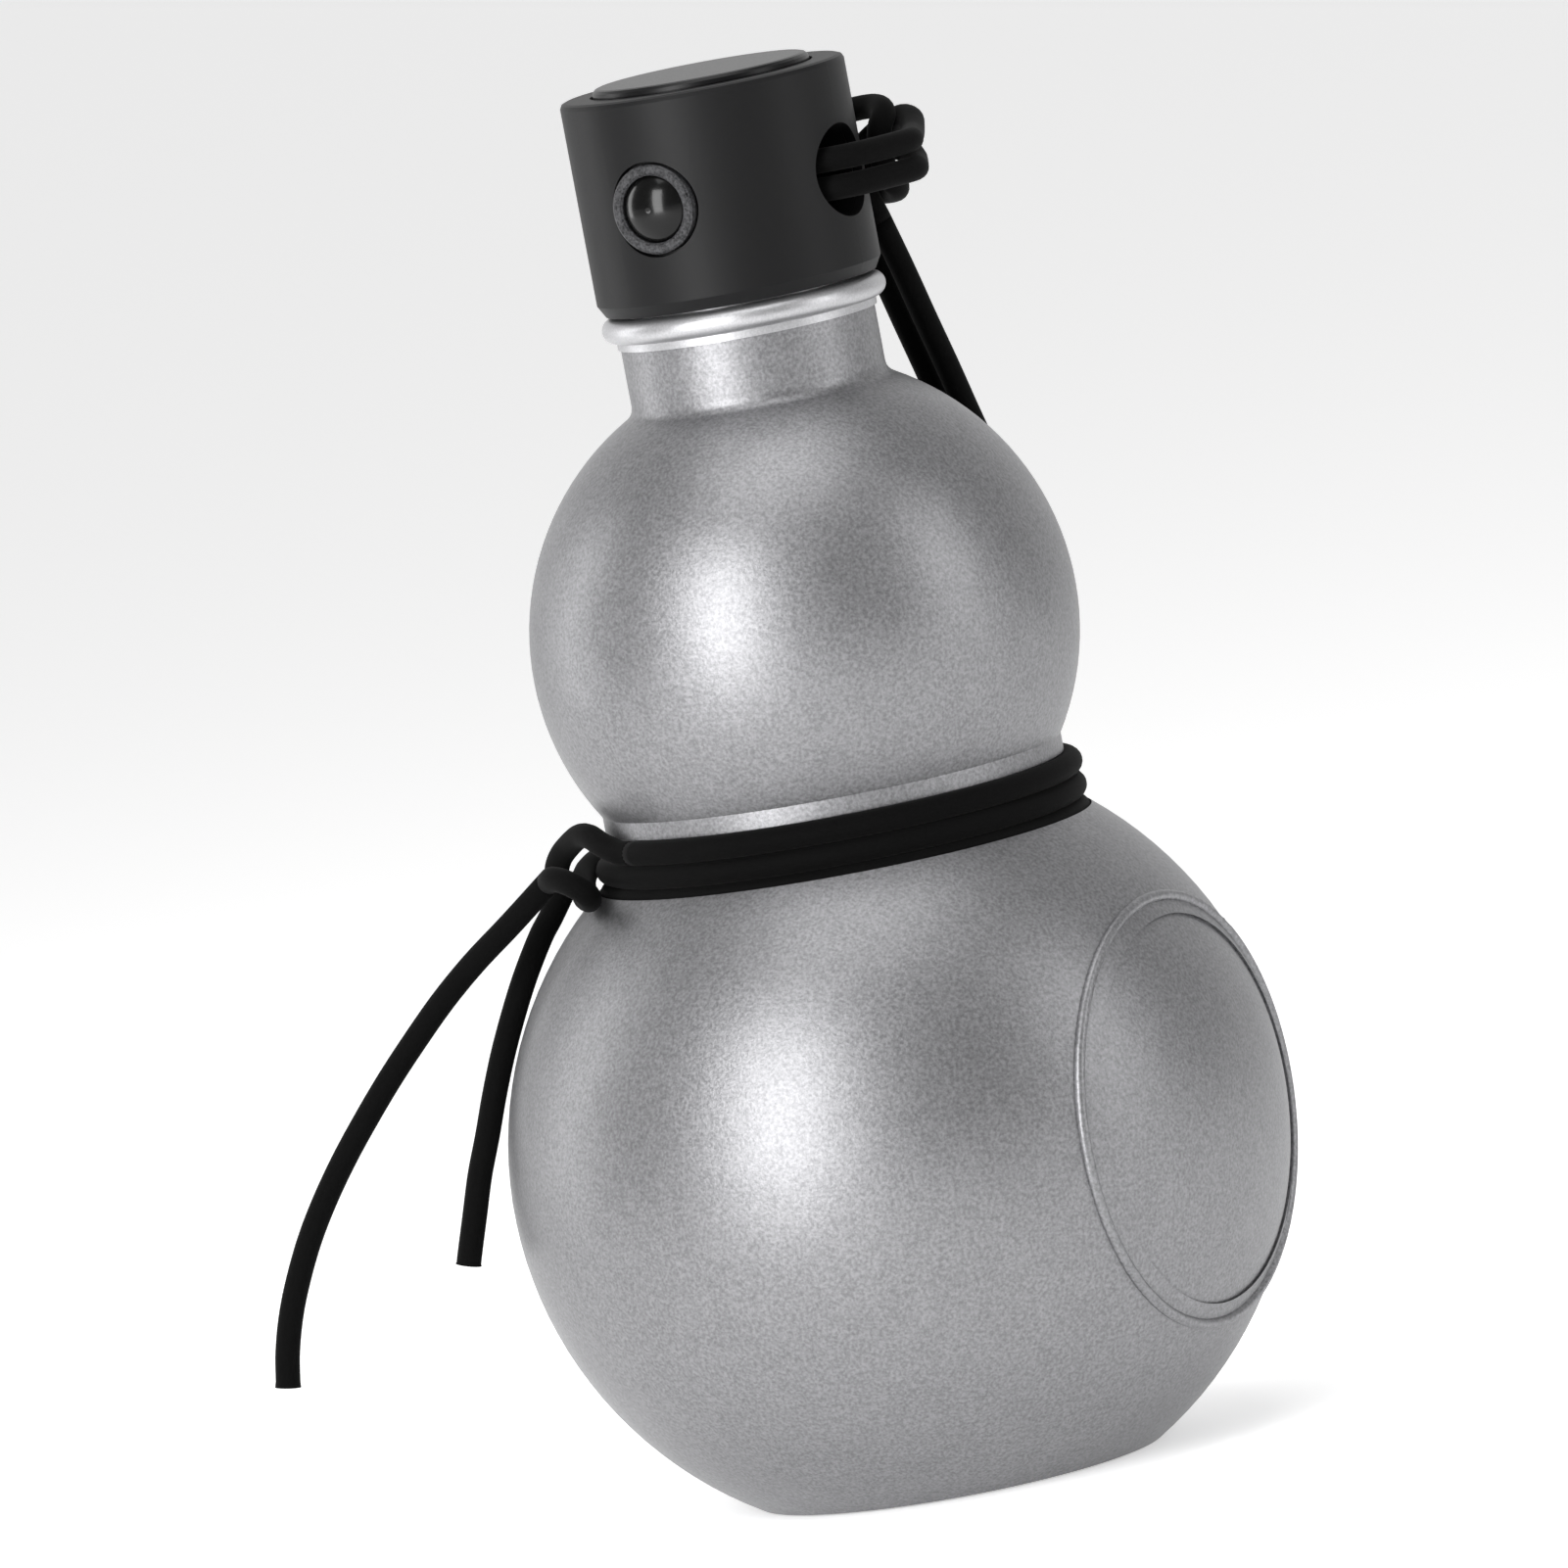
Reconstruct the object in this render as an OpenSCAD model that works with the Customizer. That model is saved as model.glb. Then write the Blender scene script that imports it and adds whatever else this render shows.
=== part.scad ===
// Gourd water bottle: two blasted metal balls, a screw cap with a cord lock, and one long cord.
// The bottle stands on its flat base at the origin. The push button faces -Y, the cord passes
// through the cap along X, and the round medallion is on the +X side of the lower ball.

/* [Bottle] */
// Outer diameter of the lower ball
lower_d = 103.8; // [90:0.2:120]
// Diameter of the flat base
base_d = 54.4; // [44:0.2:62]
// Outer diameter of the upper ball
upper_d = 72.66; // [66:0.02:80]
// Distance between the centres of the two balls
ball_spacing = 69.2; // [66:0.2:74]
// Thickness of the metal wall
wall = 0.9; // [0.6:0.1:1.4]
// Outer diameter of the neck
neck_d = 34; // [30:0.2:36]
// Height of the neck's top edge above the centre of the upper ball
neck_rise = 41; // [38:0.5:50]
// Radius of the hollow corner between the neck and the upper ball
neck_fillet = 2; // [1:0.5:4]
// Diameter of the pressed recess in the base
base_recess_d = 38; // [20:1:42]
// Depth of the pressed recess in the base
base_recess = 0.5; // [0.2:0.1:0.8]

/* [Medallion] */
// Radius of the medallion's raised ring, measured from its own axis
medallion_r = 28.3; // [20:0.1:34]
// Radius of the wire-like raised ring itself
medallion_bead_r = 0.75; // [0.4:0.05:1.2]
// Radius of the plain field inside the ring
medallion_field_r = 25.8; // [16:0.1:28]
// Depth of the field below the ball's surface
medallion_depth = 0.35; // [0.1:0.05:0.5]

/* [Waist] */
// Diameter of the seat that the cord is wound on
waist_seat_d = 59; // [54:0.2:62]
// Height of the plain band between the top turn of cord and the upper ball
waist_band_h = 2.3; // [1:0.1:4]
// How far that band stands out from the cord's seat
waist_band_step = 1.25; // [0.5:0.05:1.6]

/* [Neck ring] */
// Height of the short skirt under the bead
skirt_h = 1; // [0.5:0.1:2]
// How far the skirt stands out from the neck
skirt_step = 0.35; // [0.2:0.05:0.6]
// Outer diameter of the round bead
bead_d = 38; // [36:0.2:42]
// Height of the round bead
bead_h = 3.2; // [2:0.1:4]
// Depth of the spigot that is welded inside the neck
spigot_h = 6; // [3:0.5:10]
// Bore of the mouth
mouth_d = 27.2; // [20:0.2:28]
// Outer diameter of the threaded mouth
finish_d = 30.4; // [29.6:0.2:31]
// Height of the threaded mouth above the bead
finish_h = 5.3; // [5.2:0.1:7]

/* [Thread] */
// How far the cap climbs in one full turn
thread_lead = 16; // [12:0.5:18]
// Number of thread starts
thread_starts = 4; // [4:1:4]
// Height of one thread rib
rib_h = 1.2; // [0.8:0.1:1.4]
// How far a rib stands out from the mouth
rib_depth = 1.2; // [0.8:0.1:1.3]
// Length of each rib on the mouth, in degrees
rib_arc = 45; // [30:1:50]
// Length of each lug in the cap, in degrees
lug_arc = 20; // [12:1:24]

/* [Cap] */
// Outer diameter of the cap
cap_d = 38; // [37:0.2:44]
// Height of the cap's shell
cap_h = 28.7; // [27:0.1:34]
// Thickness of the cap's side wall
cap_wall = 1.4; // [1:0.1:2]
// Thickness of the cap's roof
cap_roof = 3.6; // [3:0.1:5]
// Height of the bevel round the cap's lower edge
cap_bevel_h = 1.6; // [0.5:0.1:2]
// Width of the bevel round the cap's lower edge
cap_bevel_w = 0.9; // [0.3:0.1:1]
// Gap between the bead and the cap's lower edge
cap_gap = 0.4; // [0.3:0.1:1]
// Diameter of the raised disc on top
disc_d = 29; // [20:0.5:30]
// Thickness of the raised disc
disc_t = 2.3; // [1.8:0.1:3]
// Depth of the recess that the disc sits in
disc_recess = 1.2; // [0.6:0.1:1.6]
// Thickness of the gasket
gasket_t = 1.5; // [1:0.1:2]
// Bore of the gasket
gasket_bore = 25.6; // [20:0.2:27]
// Thickness of the liner's top plate
liner_plate = 1.1; // [0.8:0.1:1.6]
// Thickness of the liner's skirt
liner_wall = 0.85; // [0.6:0.05:0.9]

/* [Cord lock] */
// Height of the lock's centre line above the liner
lock_rise = 6.6; // [6.4:0.1:7]
// Height of the lock's block
block_h = 14.2; // [13.4:0.1:14.4]
// Diameter of the hole that the cord passes through
cord_hole_d = 12.4; // [11.6:0.1:12.8]
// Diameter of the button's plunger
plunger_d = 11.9; // [11.4:0.1:12.2]
// Diameter of the plunger's thin rear end
tail_d = 9; // [7:0.1:9.4]
// How far the button can be pressed
press_travel = 2.5; // [1.5:0.1:2.6]
// Height of the slot through the plunger
slot_h = 7.4; // [7.2:0.1:8]
// Length of the slot through the plunger
slot_l = 6.9; // [6.4:0.1:7]
// Width of the lighter ring round the button
button_ring_w = 1.45; // [1:0.05:2]
// Thickness of the ring round the button
button_ring_t = 1.6; // [1:0.1:2]
// How far the button's dome swells out of its ring
dome_rise = 1.1; // [0.5:0.1:1.6]
// Mean diameter of the lock's spring
spring_d = 6.8; // [5:0.1:7.4]
// Wire diameter of the lock's spring
spring_wire = 0.7; // [0.5:0.05:0.8]
// Number of turns in the lock's spring
spring_turns = 3.5; // [2.5:0.5:3.5]

/* [Cord] */
// Diameter of the cord
cord_d = 3.3; // [3:0.1:3.4]
// Step from one turn to the next round the waist
wrap_pitch = 3.2; // [3.1:0.05:3.5]
// Open space kept between neighbouring turns
wrap_gap = 0.45; // [0.42:0.01:0.7]

/* [Clearances] */
// Clearance between the cord and what it is wound on
cord_clearance = 0.15; // [0.1:0.05:0.4]
// Running clearance round the plunger
run_clearance = 0.05; // [0.02:0.01:0.1]
// Clearance between pieces that are pushed into each other
push_clearance = 0.05; // [0.02:0.01:0.1]
// Clearance between threads
thread_clearance = 0.3; // [0.2:0.05:0.4]
// Gap round the button and round the top disc
trim_gap = 0.4; // [0.3:0.05:0.6]

/* [Hidden] */

$fn = 96;
eps = 0.01;

// Radii
lower_r = lower_d / 2;
base_r = base_d / 2;
upper_r = upper_d / 2;
neck_r = neck_d / 2;
seat_r = waist_seat_d / 2;
band_r = seat_r + waist_band_step;
bead_r = bead_d / 2;
mouth_r = mouth_d / 2;
finish_r = finish_d / 2;
rib_r = finish_r + rib_depth;
cap_r = cap_d / 2;
cap_in_r = cap_r - cap_wall;
disc_r = disc_d / 2;
cord_r = cord_d / 2;
hole_r = cord_hole_d / 2;
plunger_r = plunger_d / 2;
tail_r = tail_d / 2;
liner_r = cap_in_r - push_clearance;
liner_in_r = liner_r - liner_wall;

// Heights, from the floor up
lower_z = sqrt(lower_r * lower_r - base_r * base_r);
upper_z = lower_z + ball_spacing;
band_top = upper_z - sqrt(upper_r * upper_r - band_r * band_r);
band_low = band_top - waist_band_h;
turn_z = [for (i = [0:2]) band_low - cord_r - i * wrap_pitch];
seam_z = (turn_z[0] + turn_z[1]) / 2;
neck_top = upper_z + neck_rise;
bead_low = neck_top + skirt_h;
bead_top = bead_low + bead_h;
finish_top = bead_top + finish_h;
gasket_top = finish_top + gasket_t;
liner_top = gasket_top + liner_plate;
cap_low = bead_top + cap_gap;
cap_top = cap_low + cap_h;
roof_low = cap_top - cap_roof;
recess_z = cap_top - disc_recess;
lock_z = liner_top + lock_rise;

// The wound cord
wrap_r = seat_r + cord_clearance + cord_r;
groove_r = wrap_r - seat_r;
winding_d = wrap_pitch - wrap_gap;

// The lock, measured along Y from the cap's axis
gripped_y = -4;
slot_back = gripped_y + cord_r + cord_clearance;
slot_front = slot_back - slot_l;
collar_l = 1.5;
collar_back = slot_back + collar_l;
press_rest = 0.3;
bore_back = collar_back + press_travel + press_rest;
tail_back = 9.4;
spring_pressed = 2.7;
spring_back = tail_back + press_travel + spring_pressed;
button_proud = 0.1;
button_y = -cap_r - button_proud;

// Thread: the ribs' lower faces start at this height
thread_z = bead_top + 1.9;
lug_start = 8;
rib_taper = 0.2;
lug_play = 0.15;

// Places given as azimuth from -Y towards +X, radius from the bottle's axis, and height
function at(p) = [p[1] * sin(p[0]), -p[1] * cos(p[0]), p[2]];
function mirrored_z(p, z) = [p[0], p[1], 2 * z - p[2]];
function backwards(list) = [for (i = [len(list) - 1:-1:0]) list[i]];

// Route of the two tails, hand-chosen points
tail_long_route = [
  [-30.5, -25.6, 87.6], [-36.7, -27, 82.8], [-42.6, -28, 78.5], [-47.6, -29.2, 74.2],
  [-52, -30.6, 69.7], [-55.9, -32.4, 65.2], [-59.3, -34.4, 60.7], [-62.6, -36.2, 56.1],
  [-65.5, -37.9, 51.5], [-68.2, -39.3, 46.7], [-70.3, -40.6, 41.9], [-72.1, -41.6, 37],
  [-73.4, -42.3, 32], [-74.1, -42.8, 27.2]
];
tail_short_route = [
  [-35.4, -14.3, 84.6], [-37.1, -15.6, 81.7], [-38.4, -17, 79.4], [-40.5, -19.3, 74.7],
  [-42.2, -21.5, 69.9], [-43.7, -23.5, 65.1], [-45, -25.4, 60.1], [-46.3, -26.8, 55.2],
  [-48, -27.7, 50.3], [-49.4, -28.5, 45.3], [-50.8, -29.3, 40.3], [-51.2, -29.5, 38.8]
];

// Loop through the cap: the leg that leaves through the lower half of the hole
loop_leg_low = [
  at([150, 22.8, 164]), at([150, 21.4, 168.6]), at([150, 22.2, 171.8]), at([148, 25, 173.2]),
  at([144, 27.2, 172.6]), at([138, 27.1, 171.6]), at([130, 26.2, 171.1]), at([120, 25.7, 171.1]),
  at([110, 25.6, 171.1]), [22.6, 3.2, 171.1], [20.2, -0.8, 171.1], [16, -3, 171.1],
  [9, gripped_y, 171.1], [0, gripped_y, 171.1], [-7, -3.8, 171.1], [-12, -2, 171.1],
  [-16, 1, 171.1], [-19.3, 3.9, 171.1]
];
// From the far side of the hole round the back, and over the two legs
loop_arm_low = [
  at([246, 21.2, 171.1]), at([232, 21, 171.1]), at([216, 21, 171.1]), at([200, 21, 170.7]),
  at([186, 21.4, 169.8]), at([174, 23, 168.4]), at([164, 25.6, 167.5]), at([154, 26.4, 167.3]),
  at([145, 25.2, 168]), at([139.5, 23.2, 170])
];
loop_turn = [at([138, 22.6, 173])];
// The leg that leaves through the upper half of the hole
loop_leg_high = [
  at([110, 25.6, 174.9]), at([120, 25.7, 174.9]), at([130, 26.4, 175]), at([138, 27.6, 175.6]),
  at([145, 29, 176.4]), at([152, 29.5, 176.6]), at([158, 28.3, 175.4]), at([161, 25.4, 173.4]),
  at([161, 22.4, 171.6]), at([161, 21.4, 168.4]), at([161, 22.8, 164])
];
loop_mirror_z = 173;
loop_route = concat(
  loop_leg_low, loop_arm_low, loop_turn,
  backwards([for (p = loop_arm_low) mirrored_z(p, loop_mirror_z)]),
  backwards([for (i = [9:len(loop_leg_low) - 1]) mirrored_z(loop_leg_low[i], loop_mirror_z)]),
  loop_leg_high
);

// The leash's two legs, from the cap's loop down the back to the waist
leash_split_z = 104;
leg_a_upper = [
  at([150, 22.8, 164]), at([151, 25.2, 157]), at([152.4, 27.6, 150]), at([153.6, 30.1, 143]),
  at([154.4, 32.4, 136]), at([155, 34.8, 129]), at([155.4, 37, 122]), at([155.6, 38.3, 114]),
  at([155.6, 37.3, leash_split_z])
];
leg_b_upper = [
  at([161, 22.8, 164]), at([161.6, 25.2, 157]), at([162, 27.6, 150]), at([162.3, 30.1, 143]),
  at([162.4, 32.4, 136]), at([162.4, 34.8, 129]), at([162.4, 37, 122]), at([162.4, 38.3, 114]),
  at([162.4, 37.3, leash_split_z])
];
leg_a_lower = [
  at([155.6, 37.3, leash_split_z]), at([155.4, 35.6, 98.8]), at([154.6, 33.6, 94.6]),
  at([152.6, 32.6, 91.9]), at([149.4, 32, 90.5]), at([145, 31.3, 90.1])
];
leg_b_lower = [
  at([162.4, 37.3, leash_split_z]), at([162.6, 35.6, 98.8]), at([163.4, 33.6, 94.6]),
  at([165.4, 32.6, 91.9]), at([168.6, 32, 90.5]), at([173, 31.3, 90.1])
];

// The knot: one strand comes over the top of the turns, the other from below and round it
knot_over = [
  at([-32, 31.3, 90.1]), at([-37, 32, 90.4]), at([-43, 32.8, 91.4]), at([-49, 33.4, 92.4]),
  at([-55, 34.2, 92.4]), at([-61, 35.6, 91.2]), at([-65, 37.4, 89.4]), at([-67, 38.4, 87.2]),
  [-35.4, -14.3, 84.6]
];
knot_under = [
  at([-118, 34.8, 86.4]), at([-106, 34.8, 87.2]), at([-94, 34.8, 87.4]), at([-82, 34.8, 87.2]),
  at([-72, 34.8, 86.7]), at([-63, 34.8, 86]), at([-55, 35, 85.4]), at([-47, 35.8, 84.9]),
  at([-40, 36.6, 84.9]), at([-36, 37.8, 86]), at([-37.5, 39.3, 87.6]), at([-43, 40.2, 88.4]),
  [-30.5, -25.6, 87.6]
];

// Azimuths of the winding
winding_start = 173;
crossing_start = 236;
crossing_end = 288;
winding_end = 956;
rings_per_turn = 24;

// Height of the winding at an azimuth: level turns, each a step lower past the crossing
function crossing(a, n) =
  let (t = (a - 360 * n - crossing_start) / (crossing_end - crossing_start))
  let (c = min(1, max(0, t)))
  c * c * (3 - 2 * c);
function winding_z(a) = turn_z[0] - wrap_pitch * (crossing(a, 0) + crossing(a, 1));
winding_steps = round((winding_end - winding_start) * rings_per_turn / 360);
winding_route = [
  for (i = [0:winding_steps])
    let (a = winding_start + (winding_end - winding_start) * i / winding_steps)
    at([a, wrap_r, winding_z(a)])
];
return_start = 145;
return_end = -32;
return_steps = 12;
return_route = [
  for (i = [0:return_steps])
    at([return_start + (return_end - return_start) * i / return_steps, wrap_r, turn_z[0]])
];

// A smooth curve through a route's points, with a given number of steps between them
function on_curve(p, i, t) =
  let (a = p[max(i - 1, 0)])
  let (b = p[i])
  let (c = p[min(i + 1, len(p) - 1)])
  let (d = p[min(i + 2, len(p) - 1)])
  0.5 * (2 * b + (c - a) * t + (2 * a - 5 * b + 4 * c - d) * t * t
    + (3 * b - a - 3 * c + d) * t * t * t);
function smooth_route(p, steps) = [
  for (i = [0:len(p) - 2])
    for (k = [0:(i == len(p) - 2 ? steps : steps - 1)])
      on_curve(p, i, k / steps)
];

// Swept tube: rings of points square to the route, carried along it without twisting
function unit(v) = v / norm(v);
function heading(p, i) = unit(p[min(i + 1, len(p) - 1)] - p[max(i - 1, 0)]);
function square_to(v, t) = unit(v - (v * t) * t);
function ring_sides(p) = [
  for (i = 0, s = square_to([0.31, 0.17, 1], heading(p, 0));
    i < len(p);
    i = i + 1, s = square_to(s, heading(p, min(i, len(p) - 1))))
    s
];
function tube_points(p, r, sides, from, to) =
  let (across = ring_sides(p))
  [for (i = [from:to])
    let (t = heading(p, i))
    let (b = cross(t, across[i]))
    for (j = [0:sides - 1])
      p[i] + r * (cos(360 * j / sides) * across[i] + sin(360 * j / sides) * b)
  ];
function tube_sides(rings, sides) = [
  for (i = [0:rings - 2])
    for (j = [0:sides - 1])
      let (k = (j + 1) % sides)
      for (f = [
        [i * sides + j, (i + 1) * sides + j, i * sides + k],
        [i * sides + k, (i + 1) * sides + j, (i + 1) * sides + k]
      ])
        f
];
function tube_ends(rings, sides) = [
  for (j = [1:sides - 2])
    for (f = [
      [0, j, j + 1],
      [(rings - 1) * sides, (rings - 1) * sides + j + 1, (rings - 1) * sides + j]
    ])
      f
];
// The tube's first and last faces lean to the points that come before and after it
module tube(p, d, sides, before = [], after = []) {
  first = len(before);
  polyhedron(
    points = tube_points(concat(before, p, after), d / 2, sides, first, first + len(p) - 1),
    faces = concat(tube_sides(len(p), sides), tube_ends(len(p), sides))
  );
}

// A stretch of the cord that meets its neighbours face to face, with a hair's gap
meet_gap = 0.1;
function shifted(a, b) = a + (b - a) * meet_gap / 2 / norm(b - a);
function apart(p, at_start, at_end) =
  let (n = len(p) - 1)
  [
    for (i = [0:n])
      i == 0 && at_start ? shifted(p[0], p[1])
      : i == n && at_end ? shifted(p[n], p[n - 1])
      : p[i]
  ];
module stretch(before, p, after, d, sides) {
  tube(apart(p, len(before) > 0, len(after) > 0), d, sides, before, after);
}

// Helical bar that climbs round the axis, thinner by a taper at its inner or its outer side
function bar_section(r_in, r_out, low, taper_in, taper_out) = [
  [r_in, low + rib_h - taper_in], [r_out, low + rib_h - taper_out],
  [r_out, low + taper_out], [r_in, low + taper_in]
];
module helical_bar(r_in, r_out, tapers, low, start, arc, steps) {
  points = [
    for (i = [0:steps])
      let (a = start + arc * i / steps)
      let (climb = thread_lead * arc * i / steps / 360)
      for (q = bar_section(r_in, r_out, low + climb, tapers[0], tapers[1]))
        [q[0] * cos(a), q[0] * sin(a), q[1]]
  ];
  polyhedron(points = points, faces = concat(tube_sides(steps + 1, 4), tube_ends(steps + 1, 4)));
}
module thread_ribs() {
  for (i = [0:thread_starts - 1])
    helical_bar(finish_r - 0.5, rib_r, [0, rib_taper], thread_z, 360 * i / thread_starts, rib_arc, 10);
}
lug_low = thread_z - lug_play - rib_h + thread_lead * lug_start / 360;
module cap_lugs() {
  for (i = [0:thread_starts - 1])
    helical_bar(finish_r + thread_clearance, liner_in_r + 0.3, [rib_taper, 0], lug_low,
      360 * i / thread_starts + lug_start, lug_arc, 6);
}

// Outline of the lower ball in the plane of radius and height, shrunk by an inset
module lower_outline(inset) {
  difference() {
    union() {
      intersection() {
        translate([0, lower_z]) circle(lower_r - inset);
        square([lower_r, turn_z[2] + groove_r - inset]);
      }
      translate([0, lower_z]) square([seat_r - inset, seam_z - lower_z]);
    }
    translate([wrap_r, turn_z[2]]) circle(groove_r + inset);
    translate([seat_r - inset, turn_z[2]]) square([groove_r * 2 + inset * 2, lower_r]);
  }
}
module lower_ball_body() {
  rotate_extrude($fn = 180) difference() {
    lower_outline(0);
    difference() {
      lower_outline(wall);
      square([lower_r, wall + base_recess]);
    }
    translate([0, seam_z - 1]) square([seat_r - wall, 2]);
    square([base_recess_d / 2, base_recess]);
  }
}
module medallion_ring() {
  translate([sqrt(lower_r * lower_r - medallion_r * medallion_r), 0, lower_z])
    rotate([0, 90, 0])
      rotate_extrude($fn = 120) translate([medallion_r, 0]) circle(medallion_bead_r, $fn = 24);
}
// The space over the medallion's field, turned about the medallion's own axis
module medallion_field() {
  translate([0, 0, lower_z]) rotate([0, 90, 0]) rotate_extrude($fn = 120) difference() {
    square([medallion_field_r, lower_r + 1]);
    circle(lower_r - medallion_depth, $fn = 180);
  }
}
module lower_ball() {
  color([0.62, 0.62, 0.64]) union() {
    difference() {
      lower_ball_body();
      medallion_field();
    }
    medallion_ring();
  }
}

// The upper ball with its waist band and neck
fillet_centre = [neck_r + neck_fillet, 0];
fillet_z = upper_z + sqrt(pow(upper_r + neck_fillet, 2) - pow(neck_r + neck_fillet, 2));
module neck_corner() {
  share = upper_r / (upper_r + neck_fillet);
  difference() {
    polygon([
      [neck_r - wall / 2, fillet_z], [fillet_centre[0], fillet_z],
      [fillet_centre[0] * share, upper_z + (fillet_z - upper_z) * share],
      [neck_r - wall / 2, upper_z + (fillet_z - upper_z) * share]
    ]);
    translate([fillet_centre[0], fillet_z]) circle(neck_fillet, $fn = 48);
  }
}
module upper_ball() {
  color([0.64, 0.64, 0.66]) rotate_extrude($fn = 180) difference() {
    union() {
      intersection() {
        translate([0, upper_z]) circle(upper_r);
        translate([0, band_top]) square([upper_r, upper_r * 2]);
      }
      translate([0, band_low]) square([band_r, waist_band_h + eps]);
      translate([0, seam_z]) square([seat_r, band_low - seam_z + eps]);
      translate([0, upper_z]) square([neck_r, neck_rise]);
      neck_corner();
    }
    intersection() {
      translate([0, upper_z]) circle(upper_r - wall);
      translate([0, band_low]) square([upper_r, upper_r * 2]);
    }
    translate([0, seam_z - 1]) square([seat_r - wall, band_top - seam_z + 1]);
    translate([0, upper_z]) square([neck_r - wall, neck_rise + 1]);
    translate([-upper_r, 0]) square([upper_r, neck_top + 1]);
  }
}

module neck_ring() {
  color([0.7, 0.7, 0.72]) union() {
    rotate_extrude($fn = 120) difference() {
      union() {
        translate([0, neck_top - spigot_h]) square([neck_r - wall - push_clearance, spigot_h + eps]);
        translate([0, neck_top]) square([neck_r + skirt_step, skirt_h + eps]);
        translate([0, bead_low]) square([bead_r - bead_h / 2, bead_h]);
        translate([bead_r - bead_h / 2, bead_low + bead_h / 2]) circle(bead_h / 2, $fn = 48);
        translate([0, bead_top - eps]) square([finish_r, finish_h + eps]);
      }
      translate([-1, 0]) square([mouth_r + 1, finish_top + 1]);
    }
    thread_ribs();
  }
}

module cap_shell() {
  color([0.07, 0.07, 0.075]) difference() {
    rotate_extrude($fn = 120) difference() {
      polygon([
        [0, cap_low], [cap_r - cap_bevel_w, cap_low], [cap_r, cap_low + cap_bevel_h],
        [cap_r, cap_top - 0.7], [cap_r - 0.25, cap_top - 0.2], [cap_r - 0.8, cap_top],
        [0, cap_top]
      ]);
      translate([-1, cap_low - 1]) square([cap_in_r + 1, roof_low - cap_low + 1]);
      translate([-1, recess_z]) square([disc_r + trim_gap + 1, disc_recess + 1]);
    }
    translate([0, 0, lock_z]) rotate([0, 90, 0])
      cylinder(h = cap_d + 2, r = hole_r, center = true, $fn = 64);
    translate([0, 0, lock_z]) rotate([90, 0, 0])
      cylinder(h = cap_r + 1, r = plunger_r + trim_gap, $fn = 64);
  }
}

liner_inset = 0.8;
module cap_liner() {
  color([0.16, 0.16, 0.17]) union() {
    rotate_extrude($fn = 120) difference() {
      translate([0, cap_low + liner_inset]) square([liner_r, liner_top - cap_low - liner_inset]);
      translate([-1, 0]) square([liner_in_r + 1, gasket_top]);
    }
    cap_lugs();
  }
}

gasket_play = 0.1;
module sealing_gasket() {
  color([0.75, 0.75, 0.74]) rotate_extrude($fn = 120)
    translate([gasket_bore / 2, finish_top])
      square([liner_in_r - gasket_play - gasket_bore / 2, gasket_t]);
}

module cap_top_disc() {
  color([0.1, 0.1, 0.105]) rotate_extrude($fn = 120) translate([0, recess_z]) polygon([
    [0, 0], [disc_r, 0], [disc_r, disc_t - 0.9], [disc_r - 0.12, disc_t - 0.45],
    [disc_r - 0.45, disc_t - 0.12], [disc_r - 0.9, disc_t], [0, disc_t]
  ]);
}

// Rod along Y between two places, centred on the lock's axis
module lock_rod(r, y_from, y_to) {
  translate([0, y_to, lock_z]) rotate([90, 0, 0]) cylinder(h = y_to - y_from, r = r, $fn = 64);
}
module lock_block() {
  color([0.2, 0.2, 0.21]) difference() {
    translate([0, 0, liner_top]) cylinder(h = block_h, r = liner_r, $fn = 120);
    translate([0, 0, lock_z]) rotate([0, 90, 0])
      cylinder(h = cap_d + 2, r = hole_r, center = true, $fn = 64);
    lock_rod(plunger_r + run_clearance, -cap_d, bore_back);
    lock_rod(tail_r + run_clearance, 0, spring_back);
  }
}
plunger_front = button_y + button_ring_t;
module lock_plunger() {
  color([0.13, 0.13, 0.14]) difference() {
    union() {
      lock_rod(plunger_r, plunger_front, collar_back);
      lock_rod(tail_r, collar_back - 1, tail_back);
    }
    translate([-plunger_d, slot_front, lock_z - slot_h / 2])
      cube([plunger_d * 2, slot_l, slot_h]);
  }
}
module button_ring() {
  color([0.3, 0.3, 0.31]) translate([0, plunger_front, lock_z]) rotate([90, 0, 0])
    rotate_extrude($fn = 96) polygon([
      [plunger_r - button_ring_w, 0], [plunger_r, 0], [plunger_r, button_ring_t - 0.3],
      [plunger_r - 0.3, button_ring_t], [plunger_r - button_ring_w + 0.3, button_ring_t],
      [plunger_r - button_ring_w, button_ring_t - 0.3]
    ]);
}
dome_r = plunger_r - button_ring_w - push_clearance;
dome_h = button_ring_t - 0.6;
dome_swell = dome_rise + 0.6;
dome_ball_r = (dome_r * dome_r + dome_swell * dome_swell) / (2 * dome_swell);
module button_dome() {
  color([0.02, 0.02, 0.02]) translate([0, plunger_front, lock_z]) rotate([90, 0, 0]) union() {
    cylinder(h = dome_h, r = dome_r, $fn = 64);
    intersection() {
      translate([0, 0, dome_h + dome_swell - dome_ball_r]) sphere(dome_ball_r, $fn = 96);
      translate([0, 0, dome_h - eps]) cylinder(h = dome_swell + 1, r = dome_r, $fn = 64);
    }
  }
}
spring_rings = round(spring_turns * 16);
spring_length = spring_back - tail_back - spring_wire;
module lock_spring() {
  color([0.7, 0.7, 0.7]) tube(
    [for (i = [0:spring_rings])
      let (a = 360 * spring_turns * i / spring_rings)
      [
        spring_d / 2 * cos(a),
        tail_back + spring_wire / 2 + spring_length * i / spring_rings,
        lock_z + spring_d / 2 * sin(a)
      ]],
    spring_wire * 0.98, 6);
}

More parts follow.
